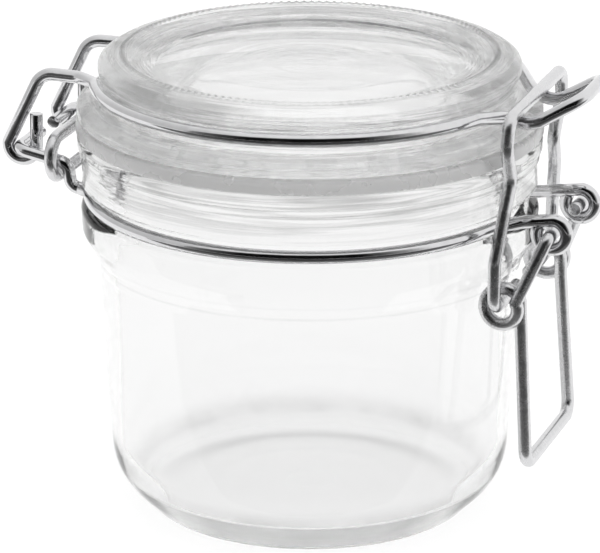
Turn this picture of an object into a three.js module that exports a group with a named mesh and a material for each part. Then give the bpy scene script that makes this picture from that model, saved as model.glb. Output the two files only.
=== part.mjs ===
// A clip-top glass storage jar with its lid shut: a moulded glass body, a rubber seal, a glass lid
// and the sprung wire work that hinges the lid on one side and latches it on the other.
// Millimetres, +Z up, the jar's axis on Z and its base on Z = 0.
// +X points from the hinge to the latch, and the jar is alike on both sides of the XZ plane.
import * as THREE from "three";

// Driving dimensions of the glass
const BODY_R = 42.8;
const NECK_R = 48;
const MOUTH_R = 38.8;
const WALL = 3.3;
const FLOOR_Z = 5.8;
const SEAL_Z = 80.2;
const SEAL_THICKNESS = 3;
const GAP = 0.3;
const LID_TOP_Z = 96.4;

// Driving dimensions of the wire work
const WIRE_R = 1.35;
const NECK_WIRE = { r: 45.6, z: 67.25 };
const LID_WIRE = { r: 44.15, z: 90.75 };
const HINGE = { x: -58.4, z: 75, armY: 16.4, legY: 13.5, pinEndY: 3.6 };
const LEVER_PIVOT = { x: 54.9, z: 66.2, eyeY: 11, armY: 14.1 };
const COIL = { x: 46.3, z: 51.9, r: 3.6, outerY: 18.1, innerY: 15.2 };
const HANDLE = { x: 51.8, z: 18.3, y: 16.6 };
const BAIL_BAR = { x: 48.1, z: 92, y: 19.4 };

// Fineness of the meshes
const ROUND_STEPS = 56;
const WIRE_SIDES = 8;
const BEND_STEP = Math.PI / 7;

const degrees = THREE.MathUtils.degToRad;
const point = (x, y, z) => new THREE.Vector3(x, y, z);

const glass = new THREE.MeshStandardMaterial({
  color: 0xe9efed,
  roughness: 0.04,
  metalness: 0,
  transparent: true,
  opacity: 0.4,
});
const rubber = new THREE.MeshStandardMaterial({ color: 0xdad9d4, roughness: 0.55, metalness: 0 });
const steel = new THREE.MeshStandardMaterial({ color: 0xb9bcc0, roughness: 0.22, metalness: 1 });

const jar = new THREE.Group();

function addMesh(name, geometry, material) {
  const mesh = new THREE.Mesh(geometry, material.clone());
  mesh.name = name;
  jar.add(mesh);
}

// A solid of revolution about Z from [radius, height] pairs that run up the outside and down the inside.
function turned(profile) {
  const points = profile.map(([r, z]) => new THREE.Vector2(r, z));
  const geometry = new THREE.LatheGeometry(points, ROUND_STEPS);
  return geometry.rotateX(Math.PI / 2);
}

// Points of an elliptical arc, as [radius, height] pairs, between two angles in degrees.
function arc(r, z, radiusR, radiusZ, from, to, steps) {
  const pairs = [];
  for (let i = 0; i <= steps; i += 1) {
    const angle = degrees(from + ((to - from) * i) / steps);
    pairs.push([r + radiusR * Math.cos(angle), z + radiusZ * Math.sin(angle)]);
  }
  return pairs;
}

// A route made of points that are already close together.
class Route extends THREE.Curve {
  constructor(points) {
    super();
    this.points = points;
  }

  getPoint(t, target = new THREE.Vector3()) {
    const last = this.points.length - 1;
    const along = THREE.MathUtils.clamp(t, 0, 1) * last;
    const before = Math.min(Math.floor(along), last - 1);
    return target.lerpVectors(this.points[before], this.points[before + 1], along - before);
  }

  getPointAt(u, target) {
    return this.getPoint(u, target);
  }

  getTangentAt(u, target) {
    return this.getTangent(u, target);
  }
}

// Rounds the corners of a bent wire: each inner point becomes an arc of the bend radius, or as large as fits.
function bent(corners, bendRadius) {
  const points = [corners[0].clone()];
  for (let i = 1; i < corners.length - 1; i += 1) {
    const corner = corners[i];
    const back = corners[i - 1].clone().sub(corner);
    const ahead = corners[i + 1].clone().sub(corner);
    const room = 0.48 * Math.min(back.length(), ahead.length());
    back.normalize();
    ahead.normalize();
    const turn = Math.PI - back.angleTo(ahead);
    const setback = Math.min(bendRadius * Math.tan(turn / 2), room);
    const radius = setback / Math.tan(turn / 2);
    const middle = back.clone().add(ahead).normalize();
    const centre = corner.clone().addScaledVector(middle, radius / Math.cos(turn / 2));
    const start = corner.clone().addScaledVector(back, setback).sub(centre);
    const end = corner.clone().addScaledVector(ahead, setback).sub(centre);
    const steps = Math.max(1, Math.ceil(turn / BEND_STEP));
    for (let k = 0; k <= steps; k += 1) {
      const share = k / steps;
      const spoke = start.clone().multiplyScalar(Math.sin((1 - share) * turn));
      spoke.addScaledVector(end, Math.sin(share * turn));
      spoke.divideScalar(Math.sin(turn));
      points.push(spoke.add(centre));
    }
  }
  points.push(corners[corners.length - 1].clone());
  return points;
}

// Part of a turn of wire round an axis along Y, moving sideways as it goes.
function coil(x, z, radius, from, to, fromY, toY, steps) {
  const points = [];
  for (let i = 0; i <= steps; i += 1) {
    const share = i / steps;
    const angle = degrees(from + (to - from) * share);
    const y = fromY + (toY - fromY) * share;
    points.push(point(x + radius * Math.cos(angle), y, z + radius * Math.sin(angle)));
  }
  return points;
}

// Part of a level ring of wire round the jar.
function ring(wire, from, to, steps) {
  const points = [];
  for (let i = 0; i <= steps; i += 1) {
    const angle = degrees(from + ((to - from) * i) / steps);
    points.push(point(wire.r * Math.cos(angle), wire.r * Math.sin(angle), wire.z));
  }
  return points;
}

// The same points on the other side of the XZ plane, in the other order.
function mirrored(points) {
  return points.map((p) => point(p.x, -p.y, p.z)).reverse();
}

// Leaves out points that stand on the one before.
function spaced(points) {
  return points.filter((p, i) => i === 0 || p.distanceTo(points[i - 1]) > 0.15);
}

function wireSection() {
  const section = new THREE.Shape();
  for (let i = 0; i < WIRE_SIDES; i += 1) {
    const angle = (2 * Math.PI * i) / WIRE_SIDES;
    const x = WIRE_R * Math.cos(angle);
    const y = WIRE_R * Math.sin(angle);
    if (i === 0) {
      section.moveTo(x, y);
    } else {
      section.lineTo(x, y);
    }
  }
  section.closePath();
  return section;
}

function wire(points) {
  const kept = spaced(points);
  return new THREE.ExtrudeGeometry(wireSection(), {
    extrudePath: new Route(kept),
    steps: kept.length - 1,
    curveSegments: 1,
    bevelEnabled: false,
  });
}

// Glass body: rounded foot, slightly tapered wall, collar, wire groove and neck ring, open at the mouth
function makeBody() {
  const outside = [
    [0, 0],
    [32.4, 0],
    ...arc(32, 17, BODY_R - 0.4 - 32, 17, -72, 0, 5),
    [BODY_R, 31],
    [BODY_R + 0.6, 47],
    [BODY_R + 1, 52.6],
    [BODY_R + 1.6, 54.6],
    [BODY_R + 3.5, 57.3],
    [47.1, 59.3],
    [47.5, 61.5],
    [47.5, 64.2],
    [46.6, 65.2],
    [43.9, 65.8],
    [43.9, 69],
    [46.6, 69.8],
    [47.2, 70.8],
    [47, 75],
    [47.2, 76.3],
    [NECK_R, 77.8],
    [NECK_R, 79.5],
    [NECK_R - 0.7, SEAL_Z],
  ];
  const insideR = BODY_R - WALL;
  const inside = [
    [MOUTH_R + 0.8, SEAL_Z],
    [MOUTH_R, SEAL_Z - 0.8],
    [MOUTH_R, 68],
    [insideR + 0.4, 55],
    [insideR, 40],
    ...arc(insideR - 6.5, FLOOR_Z + 6.5, 6.5, 6.5, 0, -90, 4),
    [0, FLOOR_Z],
  ];
  return turned([...outside, ...inside]);
}

// Rubber seal: a flat ring between the neck ring and the lid
function makeSeal() {
  const low = SEAL_Z + GAP;
  const high = SEAL_Z + SEAL_THICKNESS + GAP;
  const inner = MOUTH_R + 0.7;
  const outer = NECK_R + 0.2;
  return turned([
    [inner, low],
    [outer - 0.5, low],
    [outer, low + 0.6],
    [outer, high - 0.6],
    [outer - 0.5, high],
    [inner, high],
    [inner, low],
  ]);
}

// Glass lid: rim, wire groove, raised disc with a beaded ridge, shallow dished top and a plug below
function makeLid() {
  const under = SEAL_Z + SEAL_THICKNESS + 2 * GAP;
  const plugR = MOUTH_R - 2.4;
  return turned([
    [0, 92],
    [plugR - 6, 91.5],
    [plugR - 3.5, 89],
    [plugR - 3.2, under - 3],
    [plugR - 0.6, under - 3],
    [plugR, under - 2.2],
    [plugR + 0.3, under],
    [NECK_R - 0.8, under],
    [NECK_R, under + 0.8],
    [NECK_R, 85.6],
    [47.3, 86.6],
    [45.6, 87.4],
    [43.6, 87.9],
    [42.5, 89],
    [42.5, 92.4],
    [43.4, 93.4],
    [43.4, 94.6],
    [42.4, 95.7],
    [39.6, LID_TOP_Z],
    [39.2, LID_TOP_Z + 0.5],
    [38.5, LID_TOP_Z + 0.8],
    [37.8, LID_TOP_Z + 0.5],
    [37.3, LID_TOP_Z],
    [36.2, LID_TOP_Z - 0.4],
    [33, 95],
    [31.6, 94.8],
    [0, 94.9],
  ]);
}

// Wire round the lid: rounded nose at the latch, ring in the lid's groove, and two legs hooked on the hinge pins
function makeLidWire() {
  const fromNose = bent(
    [
      point(60.2, 0, 94.3),
      point(60.2, 8.2, 94.3),
      point(50, 9, 88.1),
      point(45.2, 9.6, 89.4),
      point(41.2, 16, LID_WIRE.z),
    ],
    5.2,
  );
  fromNose.pop();
  const round = ring(LID_WIRE, 23, 157, 13);
  const leg = bent(
    [
      point(-40.4, 17.7, LID_WIRE.z),
      point(-45, HINGE.legY + 0.4, LID_WIRE.z),
      point(-53.8, HINGE.legY, LID_WIRE.z + 0.1),
      point(HINGE.x - 3.1, HINGE.legY, HINGE.z + 1.2),
    ],
    4.4,
  ).slice(1, -1);
  const hook = coil(HINGE.x, HINGE.z, 3.1, 172, 360, HINGE.legY, HINGE.legY, 9);
  const stub = [point(HINGE.x + 3.2, HINGE.legY, HINGE.z + 7)];
  const half = [...fromNose, ...round, ...leg, ...hook, ...stub];
  return wire([...mirrored(half).slice(0, -1), ...half]);
}

// Half of the neck wire: latch eye, half ring in the groove, hinge arm and hinge pin
function neckWireHalf() {
  const eye = coil(LEVER_PIVOT.x, LEVER_PIVOT.z, 3.1, -215, 80, LEVER_PIVOT.eyeY, LEVER_PIVOT.eyeY, 13);
  const arm = bent(
    [
      point(LEVER_PIVOT.x + 0.4, LEVER_PIVOT.eyeY, LEVER_PIVOT.z + 3.1),
      point(49, LEVER_PIVOT.eyeY, 68.3),
      point(44.2, 12.4, NECK_WIRE.z),
      point(42.6, 16.3, NECK_WIRE.z),
    ],
    3,
  ).slice(0, -1);
  const round = ring(NECK_WIRE, 21, 158, 14);
  const hinge = bent(
    [
      point(-43.2, 15.4, NECK_WIRE.z),
      point(-46.6, HINGE.armY - 0.2, 67.8),
      point(-47.2, HINGE.armY, 72.8),
      point(HINGE.x, HINGE.armY, HINGE.z),
      point(HINGE.x, HINGE.pinEndY, HINGE.z),
    ],
    2.2,
  ).slice(1);
  return [...eye, ...arm, ...round, ...hinge];
}

// Closed oval link that ties the two hinge arms together beside the neck ring
function makeHingeLink() {
  const x = -49.9;
  const endRadius = 4.2;
  const endY = 15;
  const middleZ = 73.9;
  const points = [];
  for (let i = 0; i <= 8; i += 1) {
    const angle = degrees(-90 + (180 * i) / 8);
    points.push(point(x, endY + endRadius * Math.cos(angle), middleZ + endRadius * Math.sin(angle)));
  }
  const other = points.map((p) => point(x, -p.y, 2 * middleZ - p.z));
  const loop = new Route([...points, ...other, points[0]]);
  return new THREE.TubeGeometry(loop, 18, WIRE_R, WIRE_SIDES, true);
}

// Lever: a pin in each latch eye, an arm down to a full coil, and a long handle loop
function makeLever() {
  const fromPin = bent(
    [
      point(LEVER_PIVOT.x, 6.2, LEVER_PIVOT.z),
      point(LEVER_PIVOT.x, LEVER_PIVOT.armY, LEVER_PIVOT.z),
      point(COIL.x + COIL.r, COIL.outerY - 0.4, COIL.z + 3),
    ],
    1.6,
  ).slice(0, -1);
  const turn = coil(COIL.x, COIL.z, COIL.r, 25, -345, COIL.outerY, COIL.innerY, 20);
  const leg = bent(
    [
      point(COIL.x + COIL.r, COIL.innerY, COIL.z - 3),
      point(HANDLE.x, HANDLE.y, HANDLE.z),
      point(HANDLE.x, 0, HANDLE.z),
    ],
    3.2,
  );
  const half = [...fromPin, ...turn, ...leg];
  return wire([...half, ...mirrored(half).slice(1)]);
}

// Bail: a pin in each coil of the lever, two waisted legs and the bar that lies across the lid wire's nose
function makeBail() {
  const pinX = COIL.x - 0.4;
  const pinZ = COIL.z + 0.6;
  const half = bent(
    [
      point(pinX, 4.2, pinZ),
      point(pinX, 21.2, pinZ),
      point(pinX + 0.2, 21.6, 62.5),
      point(47.2, 18.9, 72.5),
      point(47.6, 15.9, 78.4),
      point(47.9, 20.5, 86),
      point(BAIL_BAR.x, BAIL_BAR.y, BAIL_BAR.z),
      point(BAIL_BAR.x, 0, BAIL_BAR.z),
    ],
    3.4,
  );
  return wire([...half, ...mirrored(half).slice(1)]);
}

addMesh("jar_body", makeBody(), glass);
addMesh("seal", makeSeal(), rubber);
addMesh("lid_glass", makeLid(), glass);
addMesh("lid_wire", makeLidWire(), steel);
addMesh("neck_wire_back", wire(neckWireHalf()), steel);
addMesh("neck_wire_front", wire(mirrored(neckWireHalf())), steel);
addMesh("hinge_link", makeHingeLink(), steel);
addMesh("lever", makeLever(), steel);
addMesh("bail", makeBail(), steel);

export default jar;
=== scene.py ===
import math

import bpy
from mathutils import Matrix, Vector


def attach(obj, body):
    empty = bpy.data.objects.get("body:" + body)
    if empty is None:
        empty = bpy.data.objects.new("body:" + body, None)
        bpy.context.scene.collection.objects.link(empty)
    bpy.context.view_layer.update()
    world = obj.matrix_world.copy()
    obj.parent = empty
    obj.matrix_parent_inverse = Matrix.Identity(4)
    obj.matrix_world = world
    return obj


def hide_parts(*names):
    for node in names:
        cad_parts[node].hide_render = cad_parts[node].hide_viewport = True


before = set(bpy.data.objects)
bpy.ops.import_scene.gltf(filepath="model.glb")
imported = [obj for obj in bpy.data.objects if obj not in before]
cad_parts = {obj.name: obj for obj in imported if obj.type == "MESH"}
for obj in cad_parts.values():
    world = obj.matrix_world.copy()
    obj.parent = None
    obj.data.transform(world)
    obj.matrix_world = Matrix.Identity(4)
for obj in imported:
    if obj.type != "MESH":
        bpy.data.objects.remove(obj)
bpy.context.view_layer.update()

# Sizes of the glass in millimetres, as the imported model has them
MM = 0.001
BODY_R = 42.8
NECK_R = 48
MOUTH_R = 38.8
WALL = 3.3
FLOOR_Z = 5.8
SEAL_Z = 80.2
SEAL_THICKNESS = 3
GAP = 0.3
LID_TOP_Z = 96.4
BEAD_RING_R = 38.5
BEADS = 150
BEAD_HEIGHT = 0.45

# Sizes of the wire work in millimetres
WIRE_R = 1.35
NECK_WIRE_R = 45.6
NECK_WIRE_Z = 67.25
LID_WIRE_R = 44.15
LID_WIRE_Z = 90.75
HINGE_X = -58.4
HINGE_Z = 75
HINGE_ARM_Y = 16.4
HINGE_LEG_Y = 13.5
HINGE_PIN_END_Y = 3.6
LEVER_X = 54.9
LEVER_Z = 66.2
EYE_Y = 11
EYE_R = 3.1
LEVER_ARM_Y = 14.1
COIL_X = 46.3
COIL_Z = 51.9
COIL_R = 3.6
COIL_OUTER_Y = 18.1
COIL_INNER_Y = 15.2
HANDLE_X = 51.8
HANDLE_Y = 16.6
HANDLE_Z = 18.3
BAIL_X = 48.1
BAIL_Y = 19.4
BAIL_Z = 92

# Places of the marks in the glass, in millimetres from the axis and from the base; the floor ring, neck
# lines, shoulder creases, lid side and beads mark painted shade, the ripples mark relief
FLOOR_MARK_R = 37.5
FLOOR_MARK_Z = 6.2
NECK_LINES_Z = 76.5
NECK_RIPPLE_Z = 74.5
SHOULDER_MARK_R = 43.8
UPPER_SHOULDER_MARK_Z = 56.2
LOWER_SHOULDER_MARK_Z = 53.6
LID_SIDE_R = 41.8
LID_SIDE_Z = 93.5
LID_BEADS_Z = 97.5
LID_RIPPLE_START_R = 24
LID_RIPPLE_FULL_R = 44

# The body bends light less than real glass does, so that few bounces carry it through the foot
BODY_GLASS_IOR = 1.12
LID_GLASS_IOR = 1.5

# How far apart the mould's streaks lie, in millimetres
FINE_LINE_SPACING = 0.9
COARSE_LINE_SPACING = 1.1
LID_LINE_SPACING = 1

# Fineness of the meshes
SPIN_STEPS = 144
BEND_STEP = math.radians(9)
RING_STEP_DEGREES = 3
SMOOTH_BELOW = math.radians(50)
WIRE_BEVEL_STEPS = 5

# Small distances in millimetres
CUT_END_BEVEL = 0.22
CLOSEST_POINTS = 0.12
MERGE_DISTANCE = 0.01
WIRE_MERGE_DISTANCE = 0.002

# Camera, from the rings of the jar in the photograph, with its distance and aim in metres
CAMERA_AZIMUTH = math.radians(18.5)
CAMERA_ELEVATION = math.radians(18.55)
CAMERA_DISTANCE = 0.896
CAMERA_LENS = 258
CAMERA_SENSOR = 36
CAMERA_AIM = Vector((0, 0, 0.048))
PHOTO_WIDTH = 600
AXIS_OFFSET_PIXELS = 10

# The table under the jar, in metres
TABLE_SIZE = 6
TABLE_DROP = 0.0002


def add_camera():
    back = Vector((
        math.sin(CAMERA_AZIMUTH) * math.cos(CAMERA_ELEVATION),
        -math.cos(CAMERA_AZIMUTH) * math.cos(CAMERA_ELEVATION),
        math.sin(CAMERA_ELEVATION),
    ))
    bpy.ops.object.camera_add(
        location=CAMERA_AIM + CAMERA_DISTANCE * back,
        rotation=(math.pi / 2 - CAMERA_ELEVATION, 0, CAMERA_AZIMUTH),
    )
    camera = bpy.context.object
    camera.data.lens = CAMERA_LENS
    camera.data.sensor_width = CAMERA_SENSOR
    camera.data.shift_x = -AXIS_OFFSET_PIXELS / PHOTO_WIDTH
    camera.data.clip_start = 0.01
    bpy.context.scene.camera = camera


# Shader maths written as Python expressions
class Shade:
    def __init__(self, graph, socket):
        self.graph = graph
        self.socket = socket

    def _math(self, operation, other, swap=False):
        pair = (other, self) if swap else (self, other)
        return self.graph.node("ShaderNodeMath", {"operation": operation}, {0: pair[0], 1: pair[1]})

    def __add__(self, other):
        return self._math("ADD", other)

    __radd__ = __add__

    def __sub__(self, other):
        return self._math("SUBTRACT", other)

    def __rsub__(self, other):
        return self._math("SUBTRACT", other, swap=True)

    def __mul__(self, other):
        return self._math("MULTIPLY", other)

    __rmul__ = __mul__


class Graph:
    """The nodes of one material or of the world."""

    def __init__(self, tree):
        self.tree = tree

    def node(self, kind, settings=None, values=None, out=0):
        made = self.tree.nodes.new(kind)
        for name, value in (settings or {}).items():
            if name == "stops":
                self._stops(made, value)
            else:
                setattr(made, name, value)
        for name, value in (values or {}).items():
            if isinstance(value, Shade):
                self.tree.links.new(value.socket, made.inputs[name])
            else:
                made.inputs[name].default_value = value
        return Shade(self, made.outputs[out])

    def _stops(self, made, stops):
        ramp = made.color_ramp
        while len(ramp.elements) < len(stops):
            ramp.elements.new(1)
        for element, (place, level) in zip(ramp.elements, stops):
            element.position = place
            element.color = (level, level, level, 1)

    def noise(self, coordinates, scale, detail=2, roughness=0.5):
        return self.node(
            "ShaderNodeTexNoise",
            {},
            {"Vector": coordinates, "Scale": scale, "Detail": detail, "Roughness": roughness},
        )

    def bump(self, height, strength, distance):
        return self.node(
            "ShaderNodeBump", {}, {"Height": height, "Strength": strength, "Distance": distance}
        )

    def along(self, place, direction):
        """How far each point lies along a direction."""
        return self.node(
            "ShaderNodeVectorMath", {"operation": "DOT_PRODUCT"}, {0: place, 1: direction}, out=1
        )

    def off_axis(self, place):
        """How far each point lies from the jar's axis."""
        level = self.node("ShaderNodeVectorMath", {"operation": "MULTIPLY"}, {0: place, 1: (1, 1, 0)})
        return self.node("ShaderNodeVectorMath", {"operation": "LENGTH"}, {0: level}, out=1)

    def band(self, value, middle, half_width):
        """1 at the middle value, falling smoothly to 0 at both sides."""
        off = self.node("ShaderNodeMath", {"operation": "ABSOLUTE"}, {0: value - middle})
        return self.node(
            "ShaderNodeMapRange",
            {"interpolation_type": "SMOOTHSTEP"},
            {"Value": off, "From Min": half_width, "From Max": 0},
        )

    def mould_lines(self, place, spacing):
        """Streaks that run round the jar, as a mould leaves them, so many millimetres apart."""
        fall = self.along(place, (0, 0, 1)) + 0.7 * self.off_axis(place)
        drift = self.node("ShaderNodeVectorMath", {"operation": "MULTIPLY"}, {0: place, 1: (26, 26, 0)})
        rise = self.node("ShaderNodeCombineXYZ", {}, {2: (1 / (spacing * MM)) * fall})
        both = self.node("ShaderNodeVectorMath", {"operation": "ADD"}, {0: drift, 1: rise})
        return self.noise(both, scale=1, detail=2)

    def painted_shade_lines(self, place):
        """Thin separate lines, where the streaks are at their deepest; the glass colours darken along
        them as painted shade.
        """
        return self.band(self.mould_lines(place, FINE_LINE_SPACING), middle=0.62, half_width=0.16)


def new_material(name):
    """A material with its graph, its shader and each point's place on the piece."""
    material = bpy.data.materials.new(name)
    material.use_nodes = True
    tree = material.node_tree
    graph = Graph(tree)
    shader = tree.nodes["Principled BSDF"]
    place = graph.node("ShaderNodeTexCoord", out="Object")
    return material, graph, shader, place


def plug(graph, shader, name, value):
    graph.tree.links.new(value.socket, shader.inputs[name])


def start_glass(name, ior, alpha, coat, density):
    """Clear glass that takes up a little light on its way through."""
    material, graph, shader, place = new_material(name)
    pale_grey = (0.5, 0.51, 0.5, 1)
    grey = graph.node("ShaderNodeVolumeAbsorption", {}, {"Color": pale_grey, "Density": density})
    graph.tree.links.new(grey.socket, graph.tree.nodes["Material Output"].inputs["Volume"])
    shader.inputs["IOR"].default_value = ior
    shader.inputs["Transmission Weight"].default_value = 1
    shader.inputs["Alpha"].default_value = alpha
    shader.inputs["Coat Weight"].default_value = coat
    shader.inputs["Coat Roughness"].default_value = 0.03
    return material, graph, shader, place


def make_body_glass_material():
    material, graph, shader, place = start_glass(
        "moulded_clear_glass", BODY_GLASS_IOR, alpha=1, coat=0.6, density=8
    )
    height = graph.along(place, (0, 0, 1))
    radius = graph.off_axis(place)
    cloud = graph.noise(place, scale=90, detail=3)
    # Painted shade: a dark ring in the glass colour round the floor's inner edge, standing in for the
    # darkening that the thick heel gives
    floor_edge = graph.band(radius + 2 * MM * cloud, FLOOR_MARK_R * MM, 2.8 * MM)
    floor_ring_shade = floor_edge * graph.band(height, FLOOR_MARK_Z * MM, 5 * MM)
    # Painted shade: thin dark lines in the glass colour below the rim's step, standing in for its
    # shading
    neck_shade_lines = graph.painted_shade_lines(place) * graph.band(height, NECK_LINES_Z * MM, 9 * MM)
    # Painted shade: dark lines in the glass colour along the two shoulder creases
    upper_crease = graph.band(height, UPPER_SHOULDER_MARK_Z * MM, 0.6 * MM)
    lower_crease = graph.band(height, LOWER_SHOULDER_MARK_Z * MM, 0.5 * MM)
    outside = graph.band(radius, SHOULDER_MARK_R * MM, 2 * MM)
    crease_shade = outside * (upper_crease + lower_crease)
    # The body's glass colour, less the painted shade of the floor ring, the neck lines and the shoulder
    # creases
    tint = 0.96 - 0.5 * floor_ring_shade * cloud - 0.45 * neck_shade_lines - 0.25 * crease_shade * cloud
    plug(graph, shader, "Base Color", tint)
    scuffed_base = graph.band(height, 0, 4 * MM)
    plug(graph, shader, "Roughness", 0.04 + 0.3 * scuffed_base)
    ripple = graph.noise(place, scale=55, detail=1)
    near_neck = graph.band(height, NECK_RIPPLE_Z * MM, 14 * MM)
    streaks = graph.mould_lines(place, COARSE_LINE_SPACING) * near_neck
    relief = graph.bump(0.3 * ripple + 0.6 * streaks, strength=0.25, distance=1.5 * MM)
    plug(graph, shader, "Normal", relief)
    return material


def make_lid_glass_material():
    material, graph, shader, place = start_glass(
        "moulded_lid_glass", LID_GLASS_IOR, alpha=0.7, coat=0, density=5
    )
    height = graph.along(place, (0, 0, 1))
    radius = graph.off_axis(place)
    # Painted shade: the lid's glass colour darkens along the row of beads
    bead_row = graph.band(radius, BEAD_RING_R * MM, 1.1 * MM)
    beads = bead_row * graph.band(height, LID_BEADS_Z * MM, 1.2 * MM)
    # Painted shade: dark lines in the glass colour round the lid's side, standing in for the shading of
    # its ridges
    side = graph.band(radius, LID_SIDE_R * MM, 5.5 * MM) * graph.band(height, LID_SIDE_Z * MM, 7 * MM)
    # The lid's glass colour, less the painted shade of the beads and of the side lines
    tint = 0.96 - 0.6 * beads - 0.9 * side * graph.painted_shade_lines(place)
    plug(graph, shader, "Base Color", tint)
    cloud = graph.noise(place, scale=70, detail=3)
    plug(graph, shader, "Roughness", 0.03 + 0.1 * cloud)
    outer_part = graph.node(
        "ShaderNodeMapRange",
        {"interpolation_type": "SMOOTHSTEP"},
        {"Value": radius, "From Min": LID_RIPPLE_START_R * MM, "From Max": LID_RIPPLE_FULL_R * MM},
    )
    streaks = graph.mould_lines(place, LID_LINE_SPACING) * (0.1 + 0.9 * outer_part)
    relief = graph.bump(0.35 * cloud + 1.1 * streaks, strength=0.32, distance=1.2 * MM)
    plug(graph, shader, "Normal", relief)
    return material


def make_seal_material():
    material, graph, shader, place = new_material("pale_seal_rubber")
    shader.inputs["IOR"].default_value = 1.5
    shader.inputs["Specular IOR Level"].default_value = 1
    shader.inputs["Transmission Weight"].default_value = 0.35
    cloud = graph.noise(place, scale=160, detail=3)
    # Painted shade: the seal's colour is darker round its outer edge; the small cloud is its own uneven
    # tone
    painted_shade_edge = graph.band(graph.off_axis(place), (NECK_R + 0.6) * MM, 1.3 * MM)
    plug(graph, shader, "Base Color", 0.9 - 0.38 * painted_shade_edge + 0.04 * cloud)
    plug(graph, shader, "Roughness", 0.2 + 0.15 * cloud)
    plug(graph, shader, "Normal", graph.bump(cloud, strength=0.06, distance=0.4 * MM))
    return material


def make_wire_material(name, least_roughness, roughness_spread, scratch_depth):
    material, graph, shader, place = new_material(name)
    shader.inputs["Metallic"].default_value = 1
    mottle = graph.noise(place, scale=420, detail=4, roughness=0.6)
    dull_steel = (0.6, 0.6, 0.61, 1)
    clean_steel = (0.78, 0.78, 0.79, 1)
    shade = graph.node(
        "ShaderNodeMix",
        {"data_type": "RGBA"},
        {0: mottle, 6: dull_steel, 7: clean_steel},
        out=2,
    )
    plug(graph, shader, "Base Color", shade)
    plug(graph, shader, "Roughness", least_roughness + roughness_spread * mottle)
    scratches = graph.noise(place, scale=1600)
    plug(graph, shader, "Normal", graph.bump(scratches, scratch_depth, distance=0.2 * MM))
    return material


def start_piece(name, first):
    """A new mesh of one vertex at the first point, in edit mode."""
    if bpy.context.object and bpy.context.object.mode == "EDIT":
        bpy.ops.object.mode_set(mode="OBJECT")
    bpy.ops.object.select_all(action="DESELECT")
    bpy.ops.mesh.primitive_plane_add(size=0.001, location=(0, 0, 0))
    piece = bpy.context.object
    piece.name = name
    piece.data.name = name
    bpy.ops.object.mode_set(mode="EDIT")
    bpy.ops.mesh.select_all(action="SELECT")
    bpy.ops.mesh.merge(type="CENTER")
    bpy.ops.transform.translate(value=first)
    return piece


def extrude_along(points):
    for before, after in zip(points, points[1:]):
        bpy.ops.mesh.extrude_region_move(TRANSFORM_OT_translate={"value": after - before})


def spin_profile(name, profile, steps):
    """A solid of revolution about Z from points in the XZ plane."""
    piece = start_piece(name, profile[0])
    extrude_along(profile)
    bpy.ops.mesh.select_all(action="SELECT")
    bpy.ops.mesh.spin(steps=steps, angle=2 * math.pi, center=(0, 0, 0), axis=(0, 0, 1))
    bpy.ops.mesh.select_all(action="SELECT")
    bpy.ops.mesh.remove_doubles(threshold=MERGE_DISTANCE * MM)
    bpy.ops.mesh.normals_make_consistent(inside=False)
    bpy.ops.object.mode_set(mode="OBJECT")
    bpy.ops.object.shade_smooth_by_angle(angle=SMOOTH_BELOW)
    return piece


def sweep_wire(name, route, closed=False):
    """A round wire along a route, with cut ends that are slightly rounded."""
    start_piece(name, route[0])
    extrude_along(route)
    if closed:
        bpy.ops.mesh.select_all(action="SELECT")
        bpy.ops.mesh.remove_doubles(threshold=MERGE_DISTANCE * MM)
    bpy.ops.object.mode_set(mode="OBJECT")
    bpy.ops.object.convert(target="CURVE")
    curve = bpy.context.object.data
    curve.bevel_depth = WIRE_R * MM
    curve.bevel_resolution = WIRE_BEVEL_STEPS
    curve.use_fill_caps = not closed
    bpy.ops.object.convert(target="MESH")
    piece = bpy.context.object
    piece.data.materials.clear()
    bpy.ops.object.mode_set(mode="EDIT")
    bpy.ops.mesh.select_all(action="SELECT")
    bpy.ops.mesh.remove_doubles(threshold=WIRE_MERGE_DISTANCE * MM)
    bpy.ops.mesh.normals_make_consistent(inside=False)
    bpy.ops.object.mode_set(mode="OBJECT")
    if not closed:
        ends = piece.modifiers.new("cut_ends", "BEVEL")
        ends.width = CUT_END_BEVEL * MM
        ends.segments = 2
        ends.limit_method = "ANGLE"
        ends.angle_limit = math.radians(60)
        bpy.ops.object.modifier_apply(modifier="cut_ends")
    bpy.ops.object.shade_smooth_by_angle(angle=SMOOTH_BELOW)
    return piece


def point(x, y, z):
    return Vector((x, y, z)) * MM


def rounded(corners):
    """Rounds the corners of a route: each corner is (x, y, z, bend radius), in millimetres."""
    places = [point(*corner[:3]) for corner in corners]
    route = [places[0]]
    for before, corner, after, given in zip(places, places[1:], places[2:], corners[1:]):
        back = before - corner
        ahead = after - corner
        room = 0.48 * min(back.length, ahead.length)
        back.normalize()
        ahead.normalize()
        turn = math.pi - back.angle(ahead)
        if given[3] == 0 or turn < 0.01:
            route.append(corner)
            continue
        setback = min(given[3] * MM * math.tan(turn / 2), room)
        radius = setback / math.tan(turn / 2)
        centre = corner + (back + ahead).normalized() * (radius / math.cos(turn / 2))
        start = corner + back * setback - centre
        end = corner + ahead * setback - centre
        steps = max(2, math.ceil(turn / BEND_STEP))
        for i in range(steps + 1):
            share = i / steps
            spoke = start * math.sin((1 - share) * turn) + end * math.sin(share * turn)
            route.append(centre + spoke / math.sin(turn))
    route.append(places[-1])
    return route


def turns(x, z, radius, first, last, first_y, last_y):
    """Part of a turn of wire round an axis along Y, between two angles in degrees."""
    steps = math.ceil(abs(math.radians(last - first)) / BEND_STEP)
    route = []
    for i in range(steps + 1):
        share = i / steps
        angle = math.radians(first + (last - first) * share)
        y = first_y + (last_y - first_y) * share
        route.append(point(x + radius * math.cos(angle), y, z + radius * math.sin(angle)))
    return route


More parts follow.
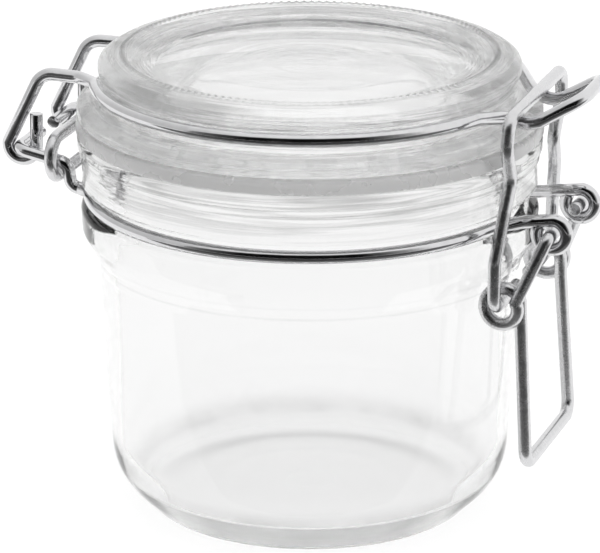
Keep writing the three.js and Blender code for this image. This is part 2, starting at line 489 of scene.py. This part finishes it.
def ring(radius, z, first, last):
    """Part of a level ring of wire round the jar, between two angles in degrees."""
    steps = math.ceil(abs(last - first) / RING_STEP_DEGREES)
    route = []
    for i in range(steps + 1):
        angle = math.radians(first + (last - first) * i / steps)
        route.append(point(radius * math.cos(angle), radius * math.sin(angle), z))
    return route


def mirrored(route):
    return [Vector((p.x, -p.y, p.z)) for p in reversed(route)]


def spaced(route):
    """The route without points that stand on the one before."""
    kept = [route[0]]
    for place in route[1:]:
        if (place - kept[-1]).length > CLOSEST_POINTS * MM:
            kept.append(place)
    return kept


def finish_piece(piece, material, body, node):
    piece.data.materials.clear()
    piece.data.materials.append(material)
    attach(piece, body)
    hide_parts(node)


def make_body_glass(material):
    inside_r = BODY_R - WALL
    profile = rounded([
        (0, 0, 1.3, 0),
        (18, 0, 1, 40),
        (30.5, 0, 0, 20),
        (33.3, 0, 0, 9),
        (BODY_R - 1.6, 0, 7.6, 14),
        (BODY_R, 0, 31, 40),
        (BODY_R + 0.9, 0, 51.8, 0.8),
        (BODY_R + 1.5, 0, 54.6, 0.6),
        (47.2, 0, 59.8, 4),
        (47.4, 0, 65, 1.2),
        (43.9, 0, 65.8, 1.2),
        (43.9, 0, 69.4, 1.2),
        (47.2, 0, 70, 0.4),
        (47, 0, 75.4, 0.2),
        (47.5, 0, 75.6, 0.2),
        (47.4, 0, 77.2, 0.2),
        (NECK_R, 0, 77.6, 0.4),
        (NECK_R, 0, SEAL_Z, 1),
        (MOUTH_R, 0, SEAL_Z, 1),
        (MOUTH_R, 0, 66, 12),
        (inside_r, 0, 55, 12),
        (inside_r, 0, 30, 0),
        (inside_r - 0.3, 0, 13, 10),
        (35.3, 0, FLOOR_Z, 2.4),
        (30, 0, FLOOR_Z, 0),
        (0, 0, FLOOR_Z + 0.2, 0),
    ])
    piece = spin_profile("body_glass", profile, SPIN_STEPS)
    finish_piece(piece, material, "jar", "jar_body")


def make_seal_ring(material):
    low = SEAL_Z + GAP
    high = low + SEAL_THICKNESS
    inner = MOUTH_R + 0.7
    outer = NECK_R + 0.2
    profile = rounded([
        (inner, 0, low + 1, 0),
        (inner, 0, low, 0.4),
        (outer, 0, low, 0.6),
        (outer, 0, high, 0.6),
        (inner, 0, high, 0.4),
        (inner, 0, low + 1, 0),
    ])
    piece = spin_profile("seal_ring", profile, SPIN_STEPS)
    finish_piece(piece, material, "jar", "seal")


def bead_up(piece):
    """Raises the ridge round the lid's top into a row of beads."""
    half_ridge = 0.75 * MM
    for vertex in piece.data.vertices:
        radius = math.hypot(vertex.co.x, vertex.co.y)
        off_ridge = abs(radius - BEAD_RING_R * MM) / half_ridge
        if vertex.co.z > (LID_TOP_Z - 0.3) * MM and off_ridge < 1:
            angle = math.atan2(vertex.co.y, vertex.co.x)
            wave = 0.5 + 0.5 * math.cos(BEADS * angle)
            vertex.co.z += (wave - 0.6) * BEAD_HEIGHT * MM * (1 - off_ridge ** 2)


def make_lid_glass(material):
    under = SEAL_Z + SEAL_THICKNESS + 2 * GAP
    plug_r = MOUTH_R - 2.4
    profile = rounded([
        (0, 0, 92, 0),
        (26, 0, 91.8, 14),
        (plug_r - 2.6, 0, under - 3, 1.2),
        (plug_r, 0, under - 3, 1),
        (plug_r + 0.3, 0, under, 0.5),
        (NECK_R, 0, under, 1),
        (NECK_R, 0, 86.3, 1.2),
        (46, 0, 87.4, 2),
        (43.2, 0, 87.8, 1.5),
        (42.4, 0, 89.4, 1),
        (42.4, 0, 92.4, 1),
        (43.5, 0, 93.2, 0.7),
        (43.5, 0, 95, 1.2),
        (41.8, 0, 96.1, 1.5),
        (39.5, 0, LID_TOP_Z, 0.3),
        (39.1, 0, LID_TOP_Z + 0.45, 0.3),
        (BEAD_RING_R, 0, LID_TOP_Z + 0.6, 0.5),
        (37.9, 0, LID_TOP_Z + 0.45, 0.3),
        (37.5, 0, LID_TOP_Z, 0.3),
        (36.4, 0, LID_TOP_Z - 0.3, 0.6),
        (34.6, 0, 95.2, 1.5),
        (31.6, 0, 95, 0.12),
        (31.4, 0, 94.4, 0.12),
        (30, 0, 94.4, 0.4),
        (0, 0, 94.5, 0),
    ])
    piece = spin_profile("lid_glass_moulded", profile, 4 * BEADS)
    bead_up(piece)
    finish_piece(piece, material, "lid", "lid_glass")


def make_lid_wire(material):
    nose = rounded([
        (60.2, 0, 94.3, 0),
        (60.2, 8.2, 94.3, 5.2),
        (50, 9, 88.1, 5.2),
        (45.2, 9.6, 89.4, 5.2),
        (41.2, 16, LID_WIRE_Z, 0),
    ])[:-1]
    leg = rounded([
        (-40.4, 17.7, LID_WIRE_Z, 0),
        (-45, HINGE_LEG_Y + 0.4, LID_WIRE_Z, 4.4),
        (-53.8, HINGE_LEG_Y, LID_WIRE_Z + 0.1, 4.4),
        (HINGE_X - 3.1, HINGE_LEG_Y, HINGE_Z + 1.2, 0),
    ])[1:-1]
    hook = turns(HINGE_X, HINGE_Z, EYE_R, 172, 360, HINGE_LEG_Y, HINGE_LEG_Y)
    stub = [point(HINGE_X + 3.2, HINGE_LEG_Y, HINGE_Z + 7)]
    half = nose + ring(LID_WIRE_R, LID_WIRE_Z, 23, 157) + leg + hook + stub
    piece = sweep_wire("lid_clip_wire", spaced(mirrored(half) + half))
    finish_piece(piece, material, "lid", "lid_wire")


def neck_wire_half():
    eye = turns(LEVER_X, LEVER_Z, EYE_R, -215, 80, EYE_Y, EYE_Y)
    arm = rounded([
        (LEVER_X + 0.4, EYE_Y, LEVER_Z + EYE_R, 0),
        (49, EYE_Y, 68.3, 3),
        (44.2, 12.4, NECK_WIRE_Z, 3),
        (42.6, 16.3, NECK_WIRE_Z, 0),
    ])[:-1]
    hinge = rounded([
        (-43.2, 15.4, NECK_WIRE_Z, 0),
        (-46.6, HINGE_ARM_Y - 0.2, 67.8, 2.2),
        (-47.2, HINGE_ARM_Y, 72.8, 2.2),
        (HINGE_X, HINGE_ARM_Y, HINGE_Z, 2.2),
        (HINGE_X, HINGE_PIN_END_Y, HINGE_Z, 0),
    ])[1:]
    return eye + arm + ring(NECK_WIRE_R, NECK_WIRE_Z, 21, 158) + hinge


def make_neck_wires(material):
    back = sweep_wire("neck_band_back", spaced(neck_wire_half()))
    finish_piece(back, material, "jar", "neck_wire_back")
    front = sweep_wire("neck_band_front", spaced(mirrored(neck_wire_half())))
    finish_piece(front, material, "jar", "neck_wire_front")


def make_hinge_link(material):
    x = -49.9
    end_r = 4.2
    end_y = 15
    middle_z = 73.9
    steps = 20
    end = []
    for i in range(steps + 1):
        angle = math.pi * (i / steps - 0.5)
        end.append(point(x, end_y + end_r * math.cos(angle), middle_z + end_r * math.sin(angle)))
    route = end + mirrored(end) + [end[0]]
    piece = sweep_wire("hinge_tie_link", route, closed=True)
    finish_piece(piece, material, "jar", "hinge_link")


def make_lever(material):
    pin = rounded([
        (LEVER_X, 6.2, LEVER_Z, 0),
        (LEVER_X, LEVER_ARM_Y, LEVER_Z, 1.6),
        (COIL_X + COIL_R, COIL_OUTER_Y - 0.4, COIL_Z + 3, 0),
    ])[:-1]
    turn = turns(COIL_X, COIL_Z, COIL_R, 25, -345, COIL_OUTER_Y, COIL_INNER_Y)
    leg = rounded([
        (COIL_X + COIL_R, COIL_INNER_Y, COIL_Z - 3, 0),
        (HANDLE_X, HANDLE_Y, HANDLE_Z, 3.2),
        (HANDLE_X, 0, HANDLE_Z, 0),
    ])
    half = pin + turn + leg
    piece = sweep_wire("lever_handle", spaced(half + mirrored(half)))
    finish_piece(piece, material, "lever", "lever")


def make_bail(material):
    pin_x = COIL_X - 0.4
    pin_z = COIL_Z + 0.6
    half = rounded([
        (pin_x, 4.2, pin_z, 0),
        (pin_x, 21.2, pin_z, 3.4),
        (pin_x + 0.2, 21.6, 62.5, 3.4),
        (47.2, 18.9, 72.5, 3.4),
        (47.6, 15.9, 78.4, 3.4),
        (47.9, 20.5, 86, 3.4),
        (BAIL_X, BAIL_Y, BAIL_Z, 3.4),
        (BAIL_X, 0, BAIL_Z, 0),
    ])
    piece = sweep_wire("bail_loop", spaced(half + mirrored(half)))
    finish_piece(piece, material, "bail", "bail")


def add_floor():
    bpy.ops.mesh.primitive_plane_add(size=TABLE_SIZE, location=(0, 0, -TABLE_DROP))
    floor = bpy.context.object
    floor.name = "floor"
    material, _, shader, _ = new_material("white_table")
    shader.inputs["Base Color"].default_value = (0.25, 0.25, 0.25, 1)
    shader.inputs["Roughness"].default_value = 0.8
    shader.inputs["Specular IOR Level"].default_value = 0
    shader.inputs["Emission Color"].default_value = (1, 1, 1, 1)
    shader.inputs["Emission Strength"].default_value = 0.85
    floor.data.materials.append(material)


def add_card(name, location, rotation, size, across, along):
    """A studio card that only reflections see, with its brightness from edge to edge both ways."""
    bpy.ops.mesh.primitive_plane_add(size=2, location=location, rotation=rotation)
    card = bpy.context.object
    card.scale = (size[0] / 2, size[1] / 2, 1)
    card.name = name
    material, graph, shader, place = new_material(name + "_paint")
    levels = []
    for direction, stops in (((1, 0, 0), across), ((0, 1, 0), along)):
        share = 0.5 + 0.5 * graph.along(place, direction)
        levels.append(graph.node("ShaderNodeValToRGB", {"stops": stops}, {0: share}))
    level = graph.node("ShaderNodeMath", {"operation": "MAXIMUM"}, {0: levels[0], 1: levels[1]})
    shader.inputs["Base Color"].default_value = (0, 0, 0, 1)
    shader.inputs["Specular IOR Level"].default_value = 0
    plug(graph, shader, "Emission Color", level)
    shader.inputs["Emission Strength"].default_value = 1
    card.data.materials.append(material)
    card.visible_camera = False
    card.visible_transmission = False
    card.visible_diffuse = False
    card.visible_shadow = False


def add_cards():
    """A dark room on the camera's side, which the bright wire and the glass reflect."""
    toward = Vector((math.sin(CAMERA_AZIMUTH), -math.cos(CAMERA_AZIMUTH), 0))
    front = 0.42 * toward + Vector((0, 0, 0.36))
    wall_across = [(0, 0.35), (0.16, 0.12), (0.34, 0), (0.62, 0), (0.76, 0.3), (0.94, 0.97)]
    wall_up = [(0, 0), (0.6, 0), (1, 0.95)]
    upright = (math.radians(90), 0, CAMERA_AZIMUTH)
    wall_size = (1.7, 0.7)
    add_card("dark_wall", front, upright, wall_size, wall_across, wall_up)
    low = 0.24 * toward + Vector((0, 0, 0.001))
    ground_across = [(0, 0.45), (0.2, 0.2), (0.42, 0.03), (0.6, 0.05), (0.78, 0.45), (0.95, 0.97)]
    ground_along = [(0, 0), (0.75, 0.02), (1, 0.25)]
    level = (0, 0, CAMERA_AZIMUTH)
    ground_size = (1.7, 0.38)
    add_card("dark_floor", low, level, ground_size, ground_across, ground_along)


def set_world():
    """Even white light all round, a little weaker from the left."""
    world = bpy.data.worlds.new("studio")
    bpy.context.scene.world = world
    world.use_nodes = True
    graph = Graph(world.node_tree)
    background = world.node_tree.nodes["Background"]
    direction = graph.node("ShaderNodeTexCoord", {}, {}, out=0)
    left = (-math.cos(CAMERA_AZIMUTH), -math.sin(CAMERA_AZIMUTH), 0)
    leftness = graph.node(
        "ShaderNodeMapRange",
        {"interpolation_type": "SMOOTHSTEP"},
        {"Value": graph.along(direction, left), "From Min": 0, "From Max": 1},
    )
    background.inputs["Color"].default_value = (1, 1, 1, 1)
    plug(graph, background, "Strength", 1.02 - 0.36 * leftness)
    bpy.context.scene.view_settings.view_transform = "Standard"


def main():
    add_camera()
    set_world()
    add_floor()
    add_cards()
    make_body_glass(make_body_glass_material())
    make_lid_glass(make_lid_glass_material())
    make_seal_ring(make_seal_material())
    bright_steel = make_wire_material(
        "bright_steel_wire", least_roughness=0.05, roughness_spread=0.1, scratch_depth=0.06
    )
    make_lid_wire(bright_steel)
    make_neck_wires(bright_steel)
    worn_steel = make_wire_material(
        "handled_steel_wire", least_roughness=0.1, roughness_spread=0.3, scratch_depth=0.14
    )
    make_hinge_link(worn_steel)
    make_lever(worn_steel)
    make_bail(worn_steel)


main()
